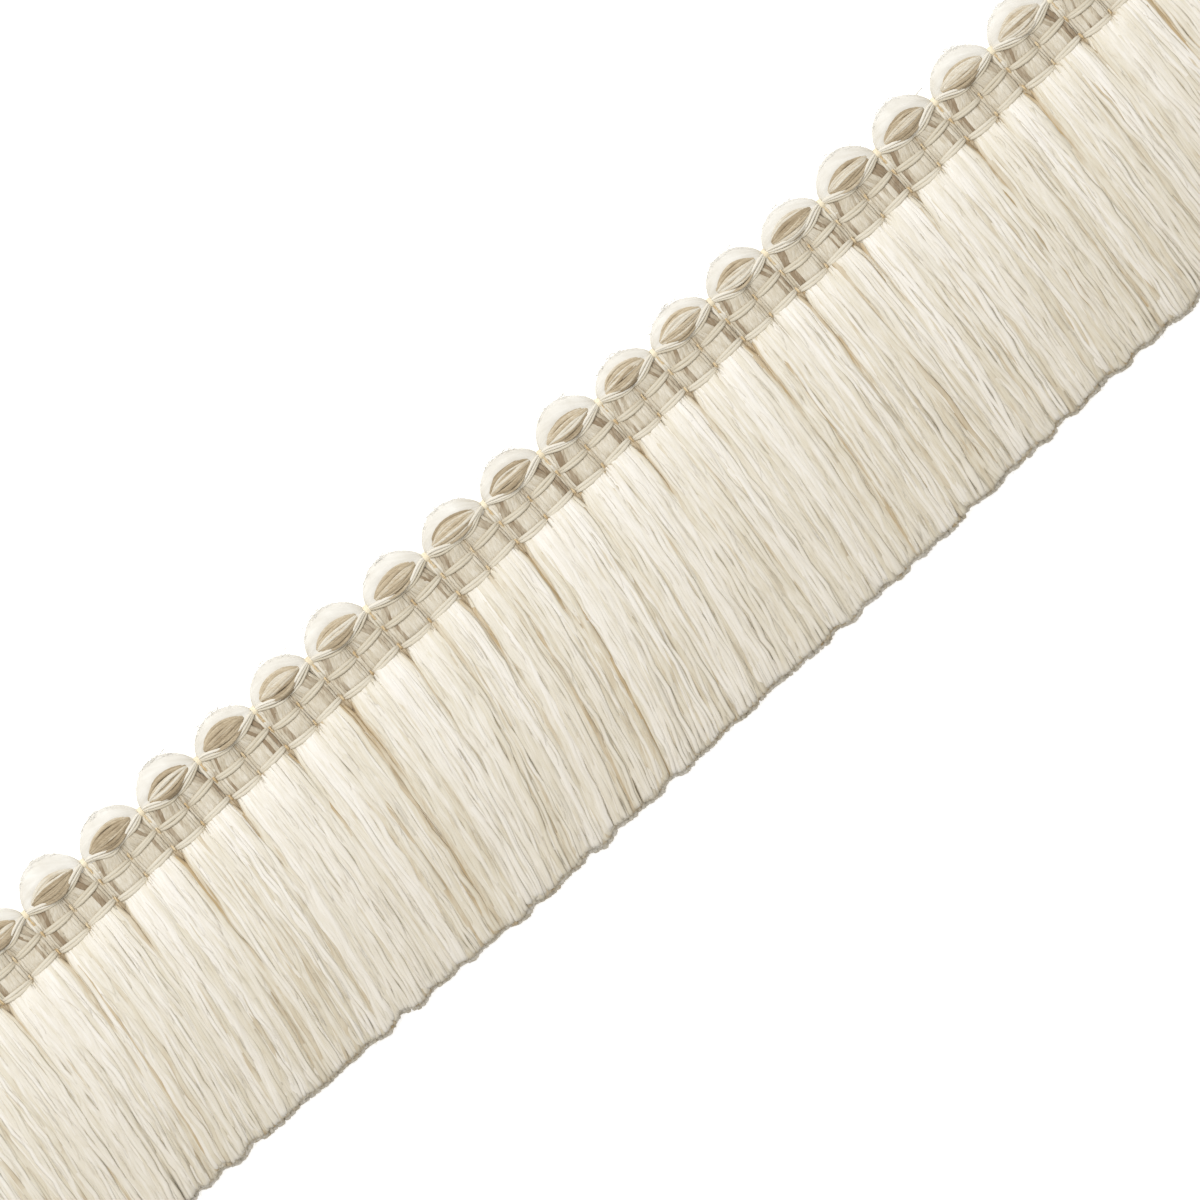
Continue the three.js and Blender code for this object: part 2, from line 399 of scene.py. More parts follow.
@dataclass
class YarnMesh:
    """Yarns gathered as round tubes with cut ends, and joined into one mesh."""

    name: str
    points: list = field(default_factory=list)
    quads: list = field(default_factory=list)
    caps: dict = field(default_factory=dict)
    quad_uvs: list = field(default_factory=list)
    cap_uvs: dict = field(default_factory=dict)
    attributes: dict = field(default_factory=lambda: {"shade": [], "strand": [], "run": []})
    count: int = 0

    def add(
        self,
        lines: np.ndarray,
        radius: np.ndarray | float,
        shade: np.ndarray | float,
        sides: int = 6,
        outward: np.ndarray = UP,
        flatness: float = 1.0,
    ) -> None:
        """Adds yarns that all have the same number of stations.

        Args:
            lines: Centre lines in millimetres, shaped (yarns, stations, 3).
            radius: Half the width, as a number, as an array that spreads to (yarns, stations), or
                as one shaped (yarns, stations, sides) for a section that is not round.
            shade: The yarns' shade from 0, deep, to 1, light: a number, one for each yarn, or an
                array shaped (yarns, stations).
            sides: Number of sides of the round section.
            outward: A direction that no yarn runs along, from which the section is set out.
            flatness: The section's size in that direction as a share of its width.
        """
        yarns, stations, _ = lines.shape
        per_point = (yarns, stations, sides)
        radius = np.asarray(radius, float)
        if radius.ndim < 3:
            radius = np.broadcast_to(radius, (yarns, stations))[:, :, None]
        radius = radius[..., None]
        tangent = np.gradient(lines, axis=1)
        tangent /= np.linalg.norm(tangent, axis=2, keepdims=True)
        side = np.cross(tangent, np.broadcast_to(outward, lines.shape))
        side /= np.linalg.norm(side, axis=2, keepdims=True)
        up = np.cross(side, tangent)
        angle = math.tau * np.arange(sides)[:, None] / sides
        wide = np.cos(angle) * side[:, :, None, :]
        high = np.sin(angle) * up[:, :, None, :] * flatness
        self.points.append((lines[:, :, None, :] + radius * (wide + high)).reshape(-1, 3))
        index = self.count + np.arange(yarns * stations * sides).reshape(per_point)
        turned = np.roll(index, -1, axis=2)
        corners = [index[:, :-1], index[:, 1:], turned[:, 1:], turned[:, :-1]]
        quads = np.stack(corners, axis=-1)
        steps = np.linalg.norm(np.diff(lines, axis=1), axis=2)
        travelled = np.concatenate([np.zeros((yarns, 1)), np.cumsum(steps, axis=1)], axis=1)
        share = np.arange(sides) / sides
        u = np.stack([share, share, share + 1 / sides, share + 1 / sides], axis=-1)
        start, end = travelled[:, :-1, None], travelled[:, 1:, None]
        v = np.broadcast_to(np.stack([start, end, end, start], axis=-1), quads.shape)
        self.quads.append(quads.reshape(-1, 4))
        self.quad_uvs.append(
            np.stack([np.broadcast_to(u, quads.shape), v], axis=-1).reshape(-1, 2)
        )
        self.caps.setdefault(sides, []).extend([index[:, 0], index[:, -1, ::-1]])
        for end_run in (travelled[:, :1], travelled[:, -1:]):
            flat = np.stack(np.broadcast_arrays(share, end_run), axis=-1)
            self.cap_uvs.setdefault(sides, []).append(flat.reshape(-1, 2))
        shade = np.asarray(shade, float)
        own = np.broadcast_to(shade[:, None] if shade.ndim == 1 else shade, (yarns, stations))
        strand = np.modf((self.count + np.arange(yarns)) * 0.6180339887)[0]
        run = travelled / travelled[:, -1:]
        spread = {"shade": own[:, :, None], "strand": strand[:, None, None], "run": run[:, :, None]}
        for name, values in spread.items():
            self.attributes[name].append(np.broadcast_to(values, per_point).ravel())
        self.count += index.size

    def build(self, material: bpy.types.Material) -> bpy.types.Object:
        """Makes the joined mesh and its object.

        Args:
            material: The material of every yarn in it.

        Returns:
            The object, at the origin of the model.
        """
        mesh = bpy.data.meshes.new(self.name)
        corners = [np.concatenate(self.quads).ravel()]
        sizes = [np.full(len(corners[0]) // 4, 4)]
        uvs = list(self.quad_uvs)
        for sides, rings in self.caps.items():
            joined = np.concatenate(rings)
            corners.append(joined.ravel())
            sizes.append(np.full(len(joined), sides))
            uvs.extend(self.cap_uvs[sides])
        tube_faces = len(sizes[0])
        corners, sizes, uvs = (np.concatenate(part) for part in (corners, sizes, uvs))
        starts = np.concatenate([[0], np.cumsum(sizes)[:-1]])
        mesh.vertices.add(self.count)
        points = np.concatenate(self.points) * MM
        mesh.vertices.foreach_set("co", points.astype(np.float32).ravel())
        mesh.loops.add(len(corners))
        mesh.loops.foreach_set("vertex_index", corners.astype(np.int32))
        mesh.polygons.add(len(sizes))
        mesh.polygons.foreach_set("loop_start", starts.astype(np.int32))
        mesh.update(calc_edges=True)
        mesh.polygons.foreach_set("use_smooth", np.arange(len(sizes)) < tube_faces)
        for name, values in self.attributes.items():
            kept = mesh.attributes.new(name, "FLOAT", "POINT")
            kept.data.foreach_set("value", np.concatenate(values).astype(np.float32))
        lie = mesh.uv_layers.new(name="lie")
        lie.data.foreach_set("uv", uvs.astype(np.float32).ravel())
        mesh.materials.append(material)
        made = bpy.data.objects.new(self.name, mesh)
        bpy.context.scene.collection.objects.link(made)
        return made


@dataclass
class SubAssembly:
    """What every sub-assembly shares: the trim's frame, a seed and how a piece is handed over."""

    trim: TrimFrame
    seed: int = 0
    rng: np.random.Generator = field(init=False, repr=False)

    def __post_init__(self) -> None:
        """Seeds the source of the sub-assembly's small differences."""
        self.rng = np.random.default_rng(self.seed)

    def dress(
        self, yarns: YarnMesh, finish: YarnFinish, stands_for: Sequence[str] = ()
    ) -> bpy.types.Object:
        """Builds a piece, gives it its finish and lets it ride on the trim's body.

        Args:
            yarns: The yarns of the piece.
            finish: Their finish.
            stands_for: The plain nodes that the piece stands for.

        Returns:
            The finished piece.
        """
        material = bpy.data.materials.get(finish.name) or finish.material()
        piece = yarns.build(material)
        if stands_for:
            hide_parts(*stands_for)
        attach(piece, BODY)
        triangles = sum(len(p.vertices) - 2 for p in piece.data.polygons)
        log.info("%s: %d triangles", piece.name, triangles)
        return piece


@dataclass
class LoopEdge(SubAssembly):
    """The row of padded loops: combed wadding, hollow where a leaf-shaped eye of linen lies."""

    seed: int = 11
    neck: float = 0.55
    upper_reach: float = 3.87
    lower_reach: float = 1.15
    thickness: float = 1.9
    fur: float = 0.25
    padding_sides: int = 64
    furrow_depth: float = 0.014
    bow_half_length: float = 5.0
    bow_power: float = 0.68
    hollow_half_length: float = 3.8
    hollow_degrees: float = 42.0
    hollow_middle: float = 98.0
    hollow_depth: float = 0.28
    eye_depth: float = 3.95
    eye_reach: float = 1.5
    eye_half_length: float = 3.65
    eye_radius: float = 0.28
    eye_ends_height: float = 3.25
    eye_crown: float = 1.1
    stations: int = 15

    def padding(self, repeat: int) -> tuple[np.ndarray, np.ndarray]:
        """Shapes the smooth padding of one loop, which is hollow where the eye lies.

        Args:
            repeat: Number of the loop.

        Returns:
            Its centre line in millimetres, shaped (1, stations, 3), and its radius towards each
            side, shaped (1, stations, sides).
        """
        reached = self.trim.pitch / 2 + 0.15
        bowed = self.bow_half_length * -np.cos(np.linspace(0, math.pi, 19))
        offset = np.concatenate([[-reached], bowed, [reached]])[:, None]
        bow = np.clip(1 - (offset / self.bow_half_length) ** 2, 0, 1) ** self.bow_power
        turned = math.tau * np.arange(self.padding_sides)[None] / self.padding_sides
        # A quarter turn faces up and a half turn the outer edge
        upper = self.upper_reach + REPEATS[repeat].rise
        reach = np.where(np.cos(turned) < 0, upper, self.lower_reach)
        fur = self.fur * np.sqrt(bow)
        wide = self.neck + (reach - self.neck) * bow + fur
        high = self.neck + (self.thickness - self.neck) * bow + fur
        radius = 1 / np.hypot(np.cos(turned) / wide, np.sin(turned) / high)
        # The hollow is a leaf that closes to a point on both sides
        closed = np.clip((offset / self.hollow_half_length) ** 2, 0, 1)
        opened = self.hollow_degrees * (1 - closed) ** 0.8
        from_middle = np.abs(np.degrees(turned) - self.hollow_middle - 10 * closed)
        mouth = (1 - smooth(from_middle, opened - 8, opened + 4)) * smooth(opened, 0, 12)
        # Combed fibres leave soft furrows that run from knot to knot
        combed = Ripple(31 + repeat, 24.0, 30.0).at(np.degrees(turned), offset)
        furrows = self.furrow_depth * combed * np.sin(turned / 2) * np.sqrt(bow)
        radius = radius * (1 - self.hollow_depth * mouth + furrows)
        along = self.trim.middle(repeat) + offset[:, 0]
        return self.trim.place(along, KNOT_DEPTH, KNOT_HEIGHT)[None], radius[None]

    def eye(self, repeat: int) -> tuple[np.ndarray, ...]:
        """Lays the linen yarns of one loop's eye, pointed at both ends and full in the middle.

        Args:
            repeat: Number of the loop.

        Returns:
            Centre lines in millimetres, each station's radius, each yarn's shade and the outward
            direction of each.
        """
        rng = self.rng
        tones = {"c": 0.85, "t": 0.45, "d": 0.2}
        shade = np.repeat([tones[c] for c in REPEATS[repeat].eye], 2)
        shade = np.clip(shade + rng.normal(0, 0.09, len(shade)), 0, 1)
        count = len(shade)
        lane = np.linspace(1, -1, count)[:, None] + rng.normal(0, 0.05, (count, 1))
        half = self.eye_half_length * rng.uniform(0.95, 1.04, (count, 1))
        share = np.linspace(0, 1, self.stations)
        bow = np.sin(math.pi * share) ** rng.uniform(1.45, 1.75, (count, 1))
        turns = share * rng.uniform(0.6, 1.6, (count, 1)) + rng.uniform(0, 1, (count, 1))
        wander = 0.08 * np.sin(math.tau * turns)
        tilt = rng.normal(0, 0.15) * (share - 0.5)
        depth = self.eye_depth - (lane + wander) * self.eye_reach * bow + tilt
        rounded = np.sqrt(1 - 0.6 * np.clip(lane, -1, 1) ** 2)
        proud = self.eye_crown * rounded + rng.normal(0, 0.05, (count, 1))
        height = self.eye_ends_height + proud * np.sin(math.pi * share)
        middle = self.trim.middle(repeat) + rng.normal(0, 0.1)
        along = middle - half * np.cos(math.pi * share)
        swell = np.sin(math.pi * share) ** 0.6
        radius = self.eye_radius * (0.35 + 0.65 * swell) * rng.uniform(0.8, 1.2, (count, 1))
        outward = np.stack(np.broadcast_arrays(0.0, 0.5 * lane, 1.0, depth)[:3], axis=-1)
        return self.trim.place(along, depth, height), radius, shade, outward

    def build(self) -> None:
        """Builds the padding and the eyes of all loops."""
        padding = YarnMesh("loop_padding")
        eyes = YarnMesh("loop_eyes")
        for repeat in range(len(REPEATS)):
            lines, radius = self.padding(repeat)
            # Painted shade: the wadding is drawn deeper and creamier towards the knots, where it
            # curves down between the loops
            knot_valley_shade = np.linspace(-1, 1, lines.shape[1])[None] ** 2
            padding.add(lines, radius, 0.7 - 0.45 * knot_valley_shade, sides=self.padding_sides)
            lines, radius, shade, outward = self.eye(repeat)
            eyes.add(lines, radius, shade, sides=6, outward=outward)
            # Painted shade: fatter yarns at half the eye yarns' shade lie just below them, deepening
            # the gaps between them
            fill = lines[1::3] - np.array([0.0, 0.0, 0.3])
            eyes.add(fill, 2.0 * radius[1::3], 0.5 * shade[1::3], sides=5, flatness=0.6)
        self.dress(padding, PADDING, ["loop_edge"])
        self.dress(eyes, LINEN)


@dataclass
class SwagCord(SubAssembly):
    """The cream yarns that hang from knot to knot in a shallow swag under each loop."""

    seed: int = 23
    drop: float = 1.5
    ends_height: float = 3.0
    radius: float = 0.21
    stations: int = 19

    def build(self) -> None:
        """Builds the swags of all loops."""
        rng = self.rng
        swags = YarnMesh("swag_yarns")
        offset = np.linspace(-1, 1, self.stations)
        fall = np.cos(math.pi / 2 * offset) ** 1.2
        arm = np.sin(math.pi * np.abs(offset)) ** 0.7
        for repeat in range(len(REPEATS)):
            rows = np.array([-0.52, -0.12, 0.28])[:, None] + rng.normal(0, 0.04, (3, 1))
            spread = 0.25 + 0.75 * arm
            wander = rng.normal(0, 0.06, (3, 1)) * np.sin(math.tau * offset)
            drop = self.drop + rng.normal(0, 0.06)
            depth = KNOT_DEPTH + drop * fall + rows * spread + wander
            height = self.ends_height + 0.65 * arm + 0.1 * fall - 0.55 * rows * arm
            along = self.trim.middle(repeat + offset / 2)
            radius = self.radius * rng.uniform(1.0, 1.2, (3, 1)) * (0.55 + 0.45 * arm)
            shade = np.array([0.9, 0.7, 0.35]) + rng.uniform(-0.15, 0.1, 3)
            swags.add(self.trim.place(along, depth, height), radius, shade, sides=7)
        self.dress(swags, CORD, ["swag_cord"])


class Column(Enum):
    """The two ribs of yarn under each loop."""

    LEFT = 0
    RIGHT = 1


@dataclass(frozen=True)
class CordRow:
    """The course of one tie cord over the ribs, and its shade.

    left and right each give the cord's depth at the two sides of a rib, and its sag between them.
    """

    name: str
    node: str
    left: tuple[float, float, float]
    right: tuple[float, float, float]
    shade: float

    def depth(self, column: Column, share: np.ndarray) -> np.ndarray:
        """Reads the cord's depth over a rib.

        Args:
            column: The rib.
            share: How far across the rib, from 0 to 1.

        Returns:
            The depth of the cord's middle.
        """
        start, end, sag = self.left if column is Column.LEFT else self.right
        return start + (end - start) * share + sag * 4 * share * (1 - share)


UPPER_CORD = CordRow("upper_cord_yarns", "upper_cord", (7.8, 8.1, 0.25), (8.0, 7.45, 0.12), 0.36)
LOWER_CORD = CordRow("lower_cord_yarns", "lower_cord", (11.2, 11.5, 0.25), (11.2, 10.85, 0.1), 0.52)


@dataclass
class TieCords(SubAssembly):
    """The two doubled cords that cross the ribs and dip into the binder lines between them."""

    seed: int = 31
    radius: float = 0.3
    strand_offset: float = 0.24
    crown_height: float = 3.4
    dip_height: float = 2.1

    @staticmethod
    def arch(share: np.ndarray) -> np.ndarray:
        """Reads how far the cord has risen, from 0 at a rib's sides to 1 on top of it."""
        steep = smooth(np.minimum(share, 1 - share), -0.02, 0.15)
        return steep * np.sqrt(np.sin(math.pi * np.clip(share, 0, 1)))

    def build(self) -> None:
        """Builds both cords."""
        rng = self.rng
        half = self.trim.pitch / 2
        share = np.array([0.0, 0.05, 0.1, 0.17, 0.3, 0.5, 0.7, 0.83, 0.9, 0.95])
        arch = self.arch(share)
        for row in (UPPER_CORD, LOWER_CORD):
            cord = YarnMesh(row.name)
            lines = []
            for rib in range(2 * len(REPEATS)):
                depth = row.depth(Column(rib % 2), share) + rng.normal(0, 0.05)
                height = self.dip_height + (self.crown_height - self.dip_height) * arch
                lines.append(np.stack([(rib + share) * half, depth, height]))
            along, depth, height = np.concatenate(lines, axis=1)
            rise = (height - self.dip_height) / (self.crown_height - self.dip_height)
            for way in (-1, 1):
                offset = way * self.strand_offset * (0.4 + 0.6 * rise)
                drift = 0.03 * Ripple(int(rng.integers(1000)), 9.0, 9.0).at(along, 0.0)
                line = self.trim.place(along, depth + offset + drift, height)
                radius = self.radius * (0.75 + 0.25 * rise)
                shade = row.shade + rng.uniform(-0.08, 0.08)
                cord.add(line[None], radius[None], shade, sides=7, flatness=0.75)
            self.dress(cord, CORD, [row.node])


@dataclass
class HeadingRibs(SubAssembly):
    """The heading's ribs: yarns packed side by side that swell between the cords over them."""

    seed: int = 47
    top_depth: float = 4.9
    foot_depth: float = 12.1
    back_height: float = 0.6
    rib_half_width: float = 2.38
    crown_height: float = 3.15
    shoulder_height: float = 2.2
    seat_drop: float = 0.32
    yarn_radius: float = 0.4
    face_yarns: int = 13
    under_yarns: int = 9
    layers: int = 3

    def rib(self, rib: int, layer: int) -> tuple[np.ndarray, np.ndarray]:
        """Lays the yarns of one layer of a rib.

        Args:
            rib: Number of the rib from the left-hand end.
            layer: 0 for the face, and more for each layer below it.

        Returns:
            Centre lines in millimetres, and each yarn's shade.
        """
        rng = self.rng
        column = Column(rib % 2)
        half_pitch = self.trim.pitch / 2
        middle = (rib + 0.5) * half_pitch + (0.06 if column is Column.LEFT else -0.06)
        binder = self.trim.middle(rib // 2)
        yarns = self.face_yarns if layer == 0 else self.under_yarns
        across = np.linspace(-1, 1, yarns)[:, None] + rng.normal(0, 0.02, (yarns, 1))
        stations = 15 if layer == 0 else 6
        depth = np.linspace(self.top_depth, self.foot_depth, stations)[None]
        seats = [row.depth(column, (across + 1) / 2) for row in (UPPER_CORD, LOWER_CORD)]
        pressed = sum(hump(depth, seat, 0.55) for seat in seats)
        width = self.rib_half_width * (1 - 0.05 * pressed) + 0.12 * layer
        along = middle + across * width
        # Above the upper cord the yarns slant in, most of all those halfway out
        reach = np.abs(along - binder)
        slant = np.sin(math.pi * np.clip((reach - 0.8) / 4.6, 0, 1)) * smooth(8.0 - depth, 0.0, 3.0)
        along = along + np.sign(binder - along) * (0.8 if column is Column.LEFT else 1.2) * slant
        rounded = np.sqrt(np.clip(1 - 0.9 * across**2, 0, 1))
        crown = self.shoulder_height + (self.crown_height - self.shoulder_height) * rounded
        face = crown - self.seat_drop * pressed - 1.1 * smooth(depth, 11.3, 12.0)
        face = face + 0.22 * smooth(7.2 - depth, 0.0, 1.0)
        height = self.back_height + (face - self.back_height) * (1 - layer / self.layers)
        height = height + rng.normal(0, 0.015, (yarns, 1))
        along = along + rng.normal(0, 0.02, along.shape) * (layer == 0)
        outer = across[:, 0] * (-1 if column is Column.LEFT else 1)
        # Painted shade: a rib is drawn lighter along its crown and deeper towards its sides
        shade = 0.74 - 0.2 * across[:, 0] ** 2 + rng.normal(0, 0.05, yarns)
        pale_beyond = 0.72 if column is Column.LEFT else 0.9
        dark = (outer > rng.uniform(0.15, 0.5)) & (outer < pale_beyond)
        dark = dark & (rng.uniform(0, 1, yarns) < 0.8)
        shade = np.where(dark, rng.uniform(0.0, 0.6, yarns), shade)
        stray = rng.uniform(0, 1, yarns) < 0.06
        # Painted shade: each layer below the face is drawn a little deeper, and the ribs deeper above
        # the upper cord, below the swag
        shade = np.where(stray & ~dark, rng.uniform(0.4, 0.55, yarns), shade) - 0.08 * layer
        shade = shade[:, None] - 0.1 * smooth(8.2 - depth, 0.0, 2.0)
        return self.trim.place(along, depth, height), np.clip(shade, 0, 1)

    def build(self) -> None:
        """Builds the face of the ribs and the yarns below it."""
        rng = self.rng
        face = YarnMesh("heading_ribs")
        under = YarnMesh("heading_under_yarns")
        for rib in range(2 * len(REPEATS)):
            for layer in range(self.layers):
                lines, shade = self.rib(rib, layer)
                target, sides, size = (face, 6, 1.0) if layer == 0 else (under, 4, 1.3)
                flatness = 0.45 if layer == 0 else 0.85
                radius = size * self.yarn_radius * rng.uniform(0.92, 1.12, (len(shade), 1))
                target.add(lines, radius, shade, sides=sides, flatness=flatness)
        # At the back and between the ribs the heading is closed by an even row of the same yarn
        count = 18 * len(REPEATS)
        along = (np.arange(count)[:, None] + 0.5) * self.trim.length / count
        depth = np.linspace(4.3, self.foot_depth + 0.6, 7)[None]
        for height, shade in ((0.38, 0.62), (1.7, 0.5)):
            level = height + 0.03 * Ripple(53, 1.0, 9.0).at(along, depth)
            near_knot = hump(np.mod(along + 5.25, self.trim.pitch), 5.25, 1.5)
            top = depth + 0.9 * (1 - near_knot) * smooth(6.5 - depth, 0.0, 2.2)
            lines = self.trim.place(along, top, level)
            tone = np.clip(shade + rng.normal(0, 0.08, count), 0, 1)
            under.add(lines, 0.37, tone, sides=5, flatness=0.8)
        self.dress(face, HEADING, ["heading_band"])
        self.dress(under, HEADING)


@dataclass
class BinderThreads(SubAssembly):
    """The threads that bind the heading: down each line between two ribs and round each knot."""

    seed: int = 59
    gold_radius: float = 0.09
    upright_radius: float = 0.26
    foot_depth: float = 11.7
    stations: int = 25
    knot_turns: float = 4.5
    knot_stations: int = 46
    knot_width: float = 0.62

    def line(self, number: int) -> np.ndarray:
        """Lays the pair of threads down one line between two ribs.

        Args:
            number: Number of the line from the left-hand end. Even ones run down from a knot.

        Returns:
            Centre lines in millimetres, shaped (2, stations, 3).
        """
        knot = number % 2 == 0
        depth = np.linspace(4.6 if knot else 6.2, self.foot_depth, self.stations)
        over = sum(hump(depth, row.left[0], 0.45) for row in (UPPER_CORD, LOWER_CORD))
        height = KNOT_HEIGHT + 0.55 * over - 0.7 * smooth(depth, 11.35, 11.7)
        if knot:
            height = height + 0.75 * smooth(7.4 - depth, 0.0, 1.4)
        sway = np.sin(math.tau * depth / 1.9 + self.rng.uniform(0, 6))
        pair = np.array([[1.0], [-1.0]])
        along = number * self.trim.pitch / 2 + 0.09 * pair * sway
        return self.trim.place(along, depth, height + 0.05 * pair * sway)

    def knot(self, number: int) -> np.ndarray:
        """Winds the thread round the pinched neck between two loops.

        Args:
            number: Number of the knot from the left-hand end.

        Returns:
            One centre line in millimetres, shaped (1, stations, 3).
        """
        angle = np.linspace(0, math.tau * self.knot_turns, self.knot_stations)
        angle = angle + self.rng.uniform(0, 6)
        spread = np.linspace(-0.3, 0.3, self.knot_stations)
        ring = 1.1 - 0.9 * spread**2
        along = number * self.trim.pitch + spread
        depth = KNOT_DEPTH + self.knot_width * ring * np.cos(angle)
        return self.trim.place(along, depth, KNOT_HEIGHT + ring * np.sin(angle))[None]

    def uprights(
        self, number: float, sides: Sequence[float], ends: tuple[float, float]
    ) -> np.ndarray:
        """Lays the yarns that run down beside a binder thread.

        Args:
            number: Number of the knot from the left-hand end, and a half more between two.
            sides: How far each yarn lies to the right of the thread.
            ends: The depths at which the yarns start and end.

        Returns:
            Centre lines in millimetres, shaped (yarns, stations, 3).
        """
        depth = np.linspace(*ends, 11)
        opened = smooth(depth, 4.5, 5.6) - 0.5 * smooth(depth, 7.0, 8.2)
        side = np.array(sides)[:, None] + self.rng.normal(0, 0.04, (len(sides), 1))
        along = number * self.trim.pitch + side * (0.45 + 0.55 * opened)
        level = 2.8 - 0.6 * smooth(depth, 6.6, 7.6) + 0.2 * smooth(depth, 11.6, 12.4)
        return self.trim.place(along, depth, level + self.rng.normal(0, 0.04, (len(sides), 1)))

    def build(self) -> None:
        """Builds the binder lines, the knots and the yarns beside them."""
        rng = self.rng
        threads = YarnMesh("binder_threads")
        pale = YarnMesh("pale_uprights")
        taupe = YarnMesh("taupe_uprights")
        for number in range(2 * len(REPEATS) + 1):
            lines = self.line(number)
            threads.add(lines, self.gold_radius, rng.uniform(0.3, 0.7, 2), sides=5)
        for number in range(len(REPEATS) + 1):
            lines = self.knot(number)
            threads.add(lines, self.gold_radius * 1.5, rng.uniform(0.85, 1.0), 5, outward=ALONG)
            lines = self.uprights(number, (-0.4, 0.02, 0.42, 0.8), (4.5, 8.1))
            pale.add(lines, self.upright_radius, rng.uniform(0.45, 0.85, 4), sides=6)
            lines = self.uprights(number, (-0.95, -0.4, 0.15, 0.75), (7.4, 13.7))
            taupe.add(lines, self.upright_radius * 1.2, rng.uniform(0.05, 0.5, 4), sides=6)
        for number in range(len(REPEATS)):
            lines = self.uprights(number + 0.5, (-0.22, 0.22), (5.2, 11.8))
            taupe.add(lines, self.upright_radius, rng.uniform(0.55, 0.75, 2), sides=6)
        self.dress(threads, BINDER)
        self.dress(pale, CORD)
        self.dress(taupe, LINEN)


@dataclass(frozen=True)
class SkirtRow:
    """The brush's height in a tuft's middle and between two tufts, at a share of its length."""

    share: float
    crown: float
    groove: float


SKIRT_ROWS = (
    SkirtRow(0.0, 3.55, 2.7),
    SkirtRow(0.03, 3.95, 3.1),
    SkirtRow(0.08, 4.3, 3.4),
    SkirtRow(0.2, 4.35, 3.7),
    SkirtRow(0.4, 4.3, 3.95),
    SkirtRow(0.65, 4.1, 3.85),
    SkirtRow(0.96, 3.75, 3.5),
    SkirtRow(1.0, 3.2, 3.0),
)


@dataclass(frozen=True)
class SkirtLayer:
    """One layer of brush yarns: how deep it lies and how finely it is made.

    level runs from 0 at the face to 1 at the back, yarns counts them in one repeat, flatness is
    the yarns' height as a share of their width, shortfall how much shorter than the longest they
    are, and notch how far they part between two tufts.
    """

    name: str
    level: float
    yarns: int
    stations: int
    sides: int
    radius: float
    flatness: float
    shade: float
    shortfall: float
    notch: float


# The second and third layers have deeper shades as painted shade, so that the slits between the face
# yarns look tan
SKIRT_LAYERS = (
    SkirtLayer("brush_face", 0.0, 24, 25, 6, 0.4, 0.5, 0.8, 0.75, 1.0),
    SkirtLayer("brush_second", 0.02, 27, 14, 5, 0.52, 0.5, 0.55, 0.65, 0.9),
    SkirtLayer("brush_third", 0.07, 20, 10, 4, 0.5, 0.8, 0.35, 0.5, 0.0),
    SkirtLayer("brush_fourth", 0.33, 16, 8, 4, 0.5, 1.0, 0.75, 0.15, 0.0),
    SkirtLayer("brush_fifth", 0.56, 16, 8, 4, 0.5, 1.0, 0.75, 0.0, 0.0),
    SkirtLayer("brush_sixth", 0.78, 16, 8, 4, 0.5, 1.0, 0.75, 0.1, 0.0),
    SkirtLayer("brush_back", 1.0, 24, 11, 5, 0.3, 0.9, 0.7, 0.3, 0.3),
)


